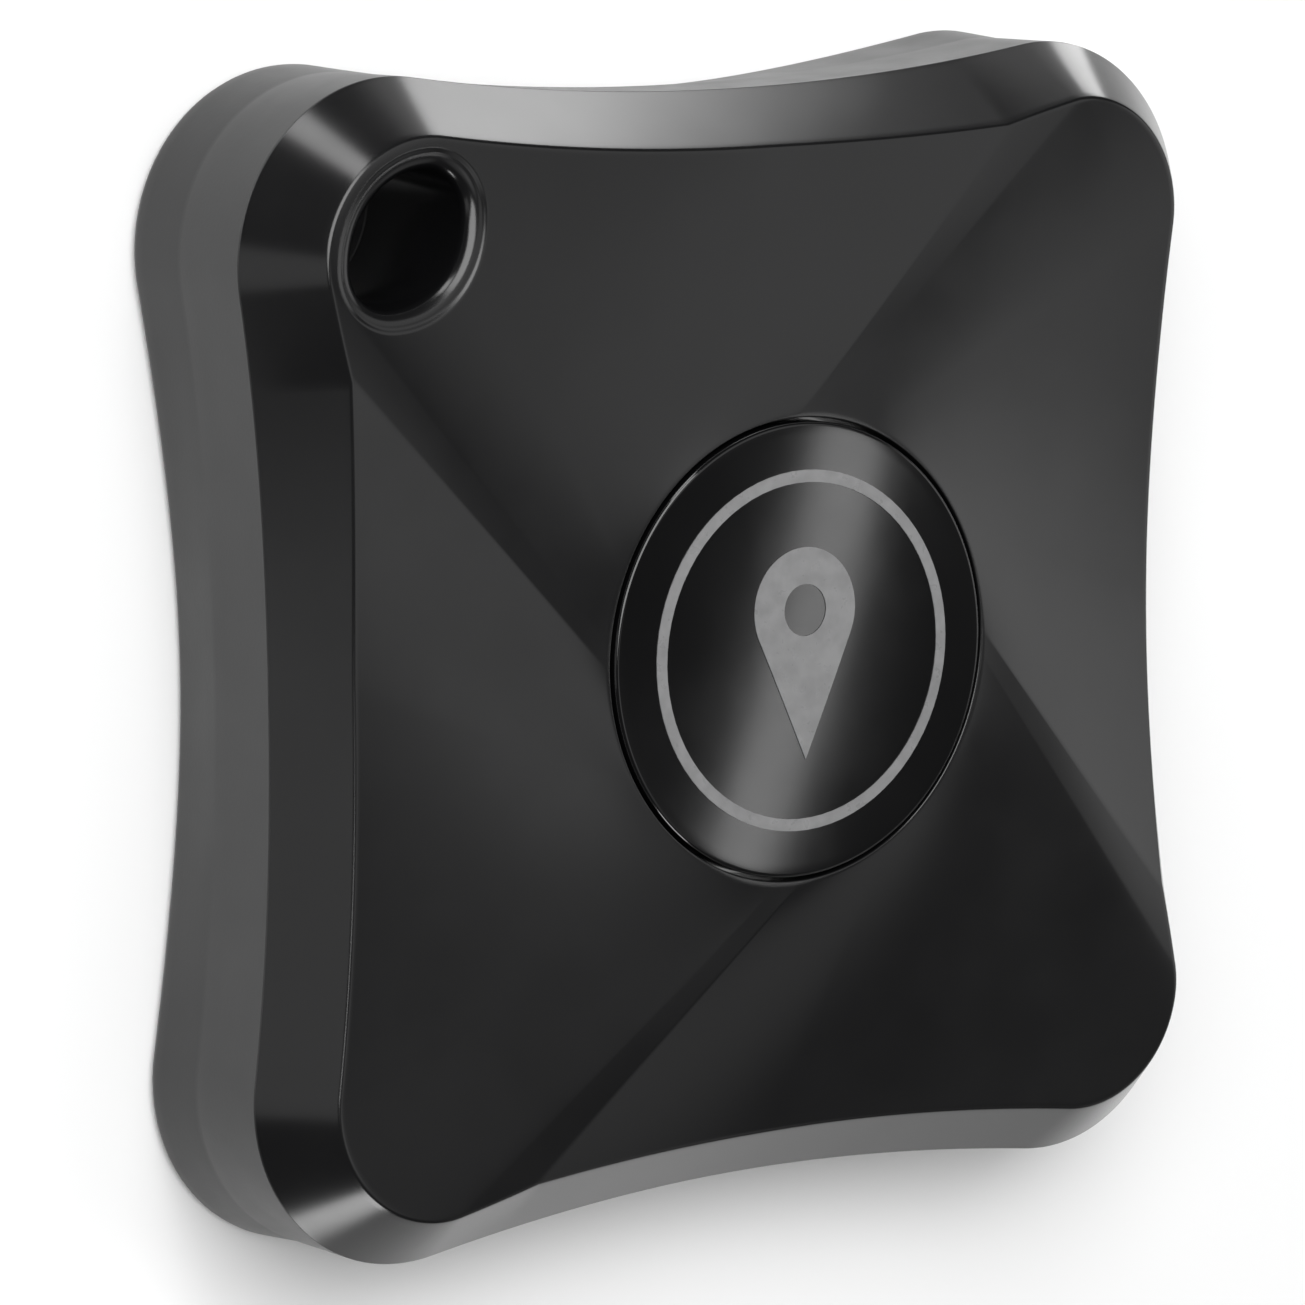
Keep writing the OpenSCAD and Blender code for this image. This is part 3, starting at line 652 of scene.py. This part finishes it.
class Finish:
    """A Principled material whose procedural detail is added step by step."""

    def __init__(self, name, colour, roughness, **sockets):
        self.material = bpy.data.materials.new(name)
        self.material.use_nodes = True
        self.nodes = self.material.node_tree.nodes
        self.links = self.material.node_tree.links
        self.shader = self.nodes["Principled BSDF"]
        self.shader.inputs["Base Color"].default_value = (*colour, 1)
        self.shader.inputs["Roughness"].default_value = roughness
        self.colour, self.roughness = colour, roughness
        self.place = self.nodes.new("ShaderNodeTexCoord").outputs["Object"]
        self.normal = None
        for socket, value in sockets.items():
            self.shader.inputs[socket.replace("_", " ")].default_value = value

    def noise(self, size, detail=2.0, stretch=(1, 1, 1)):
        """Noise whose blobs are about size millimetres across, times the stretch."""
        node = self.nodes.new("ShaderNodeTexNoise")
        node.inputs["Scale"].default_value = 1 / (size * MM)
        node.inputs["Detail"].default_value = detail
        place = self.place
        if stretch != (1, 1, 1):
            mapping = self.nodes.new("ShaderNodeMapping")
            mapping.inputs["Scale"].default_value = [1 / v for v in stretch]
            self.links.new(place, mapping.inputs["Vector"])
            place = mapping.outputs["Vector"]
        self.links.new(place, node.inputs["Vector"])
        return node.outputs["Fac"]

    def spread(self, value, low, high):
        """Maps the range that most of a noise covers to low and high."""
        node = self.nodes.new("ShaderNodeMapRange")
        node.inputs["From Min"].default_value = NOISE_LOW
        node.inputs["From Max"].default_value = NOISE_HIGH
        node.inputs["To Min"].default_value = low
        node.inputs["To Max"].default_value = high
        self.links.new(value, node.inputs["Value"])
        return node.outputs["Result"]

    def mottle(self, size, amount, stretch=(1, 1, 1)):
        """Varies the colour's brightness by an amount either way."""
        mix = self.nodes.new("ShaderNodeMix")
        mix.data_type = "RGBA"
        mix.inputs["A"].default_value = (*[c * (1 - amount) for c in self.colour], 1)
        mix.inputs["B"].default_value = (*[min(1, c * (1 + amount)) for c in self.colour], 1)
        value = self.spread(self.noise(size, stretch=stretch), 0, 1)
        self.links.new(value, mix.inputs["Factor"])
        self.links.new(mix.outputs["Result"], self.shader.inputs["Base Color"])
        return self

    def haze(self, size, amount, stretch=(1, 1, 1)):
        """Varies the roughness by an amount either way."""
        low, high = self.roughness - amount, self.roughness + amount
        value = self.spread(self.noise(size, detail=4, stretch=stretch), low, high)
        self.links.new(value, self.shader.inputs["Roughness"])
        return self

    def bump(self, height, depth):
        """Adds a bump from a 0 to 1 height, with its depth in millimetres."""
        node = self.nodes.new("ShaderNodeBump")
        node.inputs["Distance"].default_value = depth * MM
        self.links.new(height, node.inputs["Height"])
        if self.normal:
            self.links.new(self.normal, node.inputs["Normal"])
        self.normal = node.outputs["Normal"]
        self.links.new(self.normal, self.shader.inputs["Normal"])
        return self

    def grain(self, size, depth, detail=2.0, stretch=(1, 1, 1)):
        """Adds a bump of noise, with its size and depth in millimetres."""
        return self.bump(self.noise(size, detail, stretch), depth)

    def cells(self, size, depth):
        """Adds rounded cells about size millimetres across, as in foam or packed powder."""
        node = self.nodes.new("ShaderNodeTexVoronoi")
        node.inputs["Scale"].default_value = 1 / (size * MM)
        self.links.new(self.place, node.inputs["Vector"])
        return self.bump(node.outputs["Distance"], depth)

    def windings(self, size, depth):
        """Adds rings round the vertical axis, stacked size millimetres apart."""
        node = self.nodes.new("ShaderNodeTexWave")
        node.bands_direction = "Z"
        node.inputs["Scale"].default_value = BAND_SCALE / (size * MM)
        self.links.new(self.place, node.inputs["Vector"])
        return self.bump(node.outputs["Fac"], depth)


def front_plastic():
    """Polished black plastic with a faint flow pattern from the mould."""
    f = Finish("front_plastic", (0.0042, 0.0042, 0.0045), 0.2)
    return f.mottle(5, 0.12).haze(3, 0.02).grain(1.6, 0.0012)


def rear_plastic():
    """Satin black plastic with a fine spark-eroded grain."""
    f = Finish("rear_plastic", (0.013, 0.013, 0.0134), 0.36)
    return f.mottle(3, 0.12).haze(2, 0.03).grain(0.12, 0.002)


def button_plastic():
    """High-gloss black plastic."""
    f = Finish("button_plastic", (0.0025, 0.0025, 0.0027), 0.1)
    return f.mottle(4, 0.1).haze(3, 0.012).grain(2.2, 0.0008)


def open_cell_foam():
    """Dull black foam with open cells."""
    f = Finish("open_cell_foam", (0.035, 0.035, 0.036), 0.95)
    return f.mottle(0.8, 0.15).cells(0.16, 0.03)


def metal(name, colour, roughness, size=0.5):
    """Bare or plated metal with rolling marks along X."""
    f = Finish(name, colour, roughness, Metallic=1.0)
    marks = (12, 1, 1)
    return f.mottle(size, 0.08, marks).haze(size, 0.06, marks).grain(size * 0.3, 0.001, 3, marks)


def moulded(name, colour, roughness, size=0.15, depth=0.002, **sockets):
    """Moulded, sintered or fired material with an even fine grain."""
    f = Finish(name, colour, roughness, **sockets)
    return f.mottle(size * 6, 0.1).haze(size * 4, 0.04).grain(size, depth)


def solder_mask():
    """Green solder mask, which shows the weave of the board a little."""
    f = Finish("solder_mask", (0.008, 0.085, 0.04), 0.32, Coat_Weight=0.4, Coat_Roughness=0.12)
    f.mottle(1.5, 0.18).haze(0.8, 0.05)
    return f.grain(0.25, 0.004, 1, (6, 1, 1)).grain(0.25, 0.004, 1, (1, 6, 1))


def inner_finishes():
    """A finish for each material slot that the CAD nodes carry."""
    return {
        "print": moulded("print_ink", (0.19, 0.19, 0.192), 0.3, 0.09, 0.0015),
        "silicone": moulded("silicone", (0.5, 0.5, 0.47), 0.45, 0.3, 0.003, Subsurface_Weight=0.3),
        "board": solder_mask(),
        "steel": metal("steel", (0.6, 0.6, 0.62), 0.3),
        "gold": metal("gold_plate", (0.86, 0.62, 0.28), 0.24),
        "chip": moulded("chip_resin", (0.02, 0.02, 0.021), 0.5),
        "ceramic": moulded("fired_ceramic", (0.7, 0.69, 0.62), 0.4, 0.1, 0.001),
        "tin": metal("tin_plate", (0.68, 0.68, 0.68), 0.36, 0.3),
        "ferrite": moulded("ferrite", (0.05, 0.05, 0.053), 0.6, 0.08, 0.004),
        "capacitor": moulded("capacitor_ceramic", (0.36, 0.24, 0.14), 0.45, 0.1, 0.001),
        "resistor": moulded("resistor_glaze", (0.02, 0.02, 0.023), 0.3, 0.2, 0.001),
        "led": moulded("led_resin", (0.85, 0.8, 0.5), 0.2, 0.2, 0.001, Transmission_Weight=0.3),
        "white_plastic": moulded("natural_nylon", (0.66, 0.65, 0.6), 0.42, Subsurface_Weight=0.1),
        "copper": metal("copper_wire", (0.78, 0.34, 0.16), 0.3).windings(0.09, 0.02),
        "cell_steel": metal("nickel_plate", (0.64, 0.64, 0.66), 0.27, 0.8),
        "cathode": moulded("pressed_powder", (0.022, 0.022, 0.022), 0.85, 0.12, 0.01),
        "paper": moulded("fibre_paper", (0.8, 0.78, 0.72), 0.9, 0.1, 0.006),
    }


def dress_cad():
    """Swaps the CAD nodes' plain materials for the detailed ones, slot by slot."""
    finishes = inner_finishes()
    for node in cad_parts.values():
        slots = node.data.materials
        for k, old in enumerate(slots):
            if old and old.name in finishes:
                slots[k] = finishes[old.name].material


# ---------- Studio ----------

CAMERA_AT = (-128.7, 31.45, 176.95)
CAMERA_TARGET = (-4.67, 0.18, 8.0)
CAMERA_ROLL = 0.59
LENS = 181.5
SENSOR_W = 36
NEAREST = 10
FARTHEST = 10000
FLOOR_HALF = 1500
# Large lights: name, azimuth, elevation, width, height, brightness and tilt, with all of the
# angles in degrees
PANEL_AWAY = 600
PANELS = (
    ("overhead", 130, 55, 55, 40, 5.6, 0),
    ("button_strip", -13.4, 51.7, 18, 3.1, 4.2, -6),
    ("top_strip", 106, 14, 14, 24, 6, 0),
    ("left_box", 184, 22, 22, 26, 0.7, 0),
    ("low_strip", 257, 6, 17, 20, 8, 0),
)
# A row of lit strips behind the top edge, which stands across the way it faces. EDGE_STRIPS
# says where each strip ends along the row, and its brightness.
EDGE_ROW_AT = (7, 33, 3.5)
EDGE_ROW_FACES = 222
EDGE_ROW_RUNS = EDGE_ROW_FACES - 270
EDGE_ROW_H = 7
EDGE_ROW_START = -6.5
EDGE_STRIPS = ((0.8, 4.7), (2.2, 3.6), (3.4, 2.7), (4.6, 1.9), (5.9, 1.2), (7.4, 0.6))
# One lit card beside the upper right corner
CORNER_CARD_AT = (23, 26, 3.5)
CORNER_CARD_FACES = 229
CORNER_CARD_SIZE = (4, 6)
CORNER_CARD_BRIGHTNESS = 5
# Round lights in the sky, each given as its azimuth and elevation, the angles from its middle
# at which it starts and ends fading, and its brightness
SKY = 0.08
SOFTBOXES = (
    (34, 55, 14, 21, 0.8),
    (75, 66, 8, 20, 0.3),
    (0, 26, 12, 18, 1.15),
    (-60, 76, 6, 15, 0.55),
    (-70, 64, 6, 26, 0.45),
    (-37, 22, 6, 20, 0.35),
)


def looking(at, back, upright, roll):
    """Places a camera or light at a point in metres. It looks away from back, with upright up
    before a roll in degrees."""
    right = Vector(upright).cross(back).normalized()
    up = back.cross(right)
    turn = Matrix.Rotation(math.radians(roll), 3, back)
    right, up = turn @ right, turn @ up
    return Matrix.Translation(at) @ Matrix((right, up, back)).transposed().to_4x4()


def camera():
    data = bpy.data.cameras.new("camera")
    data.lens = LENS
    data.sensor_width = SENSOR_W
    data.clip_start = NEAREST * MM
    data.clip_end = FARTHEST * MM
    cam = bpy.data.objects.new("camera", data)
    bpy.context.scene.collection.objects.link(cam)
    at, target = Vector(CAMERA_AT) * MM, Vector(CAMERA_TARGET) * MM
    cam.matrix_world = looking(at, (at - target).normalized(), (0, 1, 0), -CAMERA_ROLL)
    bpy.context.scene.camera = cam


def direction(azimuth, elevation):
    """The unit vector that points along an azimuth and elevation, in degrees."""
    a, e = math.radians(azimuth), math.radians(elevation)
    return Vector((math.cos(e) * math.cos(a), math.cos(e) * math.sin(a), math.sin(e)))


def area_light(name, at, back, width, height, brightness, tilt=0):
    """A rectangular light, of a size in metres, whose brightness is its radiance."""
    data = bpy.data.lights.new(name, "AREA")
    data.shape = "RECTANGLE"
    data.size, data.size_y = width, height
    data.energy = brightness * math.pi * data.size * data.size_y
    light = bpy.data.objects.new(name, data)
    bpy.context.scene.collection.objects.link(light)
    light.visible_camera = False
    light.matrix_world = looking(at, back, (0, 0, 1), tilt)


def panel(name, azimuth, elevation, width, height, brightness, tilt):
    """A large light that looks at the tag. Its width and height are angles seen from the tag."""
    away = PANEL_AWAY * MM
    back = direction(azimuth, elevation)
    width, height = (2 * away * math.tan(math.radians(a / 2)) for a in (width, height))
    at = back * away + Vector((0, 0, FACE_Z * MM))
    area_light(name, at, back, width, height, brightness, tilt)


def card(name, at, faces, size, brightness):
    """A small light beside the tag, which faces level along an azimuth."""
    width, height = (length * MM for length in size)
    area_light(name, Vector(at) * MM, -direction(faces, 0), width, height, brightness)


def soft_sky():
    """A dim sky with a few round softboxes in it, each fading out between two angles."""
    world = bpy.data.worlds.new("world")
    bpy.context.scene.world = world
    world.use_nodes = True
    nodes, links = world.node_tree.nodes, world.node_tree.links
    place = nodes.new("ShaderNodeTexCoord").outputs["Generated"]
    total = None
    for azimuth, elevation, inner, outer, brightness in SOFTBOXES:
        dot = nodes.new("ShaderNodeVectorMath")
        dot.operation = "DOT_PRODUCT"
        dot.inputs[1].default_value = direction(azimuth, elevation)
        links.new(place, dot.inputs[0])
        fade = nodes.new("ShaderNodeMapRange")
        fade.interpolation_type = "SMOOTHSTEP"
        fade.inputs["From Min"].default_value = math.cos(math.radians(outer))
        fade.inputs["From Max"].default_value = math.cos(math.radians(inner))
        fade.inputs["To Max"].default_value = brightness
        links.new(dot.outputs["Value"], fade.inputs["Value"])
        add = nodes.new("ShaderNodeMath")
        add.inputs[1].default_value = SKY
        links.new(fade.outputs["Result"], add.inputs[0])
        if total:
            links.new(total, add.inputs[1])
        total = add.outputs["Value"]
    links.new(total, nodes["Background"].inputs["Strength"])
    nodes["Background"].inputs["Color"].default_value = (1, 1, 1, 1)


def paper_floor():
    """A large sheet of white paper that the tag lies on."""
    half = FLOOR_HALF * MM
    corners = [(half, half, 0), (-half, half, 0), (-half, -half, 0), (half, -half, 0)]
    mesh = bpy.data.meshes.new("floor")
    mesh.from_pydata(corners, [], [(0, 1, 2, 3)])
    piece = bpy.data.objects.new("floor", mesh)
    bpy.context.scene.collection.objects.link(piece)
    paper = Finish("floor_paper", (0.86, 0.86, 0.86), 0.9)
    mesh.materials.append(paper.mottle(30, 0.01).material)


def edge_strips():
    """The row of strips behind the top edge, side by side, each dimmer than the last."""
    along = direction(EDGE_ROW_RUNS, 0)
    start = EDGE_ROW_START
    for k, (end, brightness) in enumerate(EDGE_STRIPS):
        at = Vector(EDGE_ROW_AT) + along * (start + end) / 2
        card(f"edge_card_{k}", at, EDGE_ROW_FACES, (end - start, EDGE_ROW_H), brightness)
        start = end


def studio():
    bpy.context.scene.view_settings.view_transform = "Standard"
    soft_sky()
    paper_floor()
    for settings in PANELS:
        panel(*settings)
    edge_strips()
    card(
        "corner_card", CORNER_CARD_AT, CORNER_CARD_FACES, CORNER_CARD_SIZE, CORNER_CARD_BRIGHTNESS
    )


camera()
front_cover()
rear_shell()
button()
foam_pad()
dress_cad()
studio()
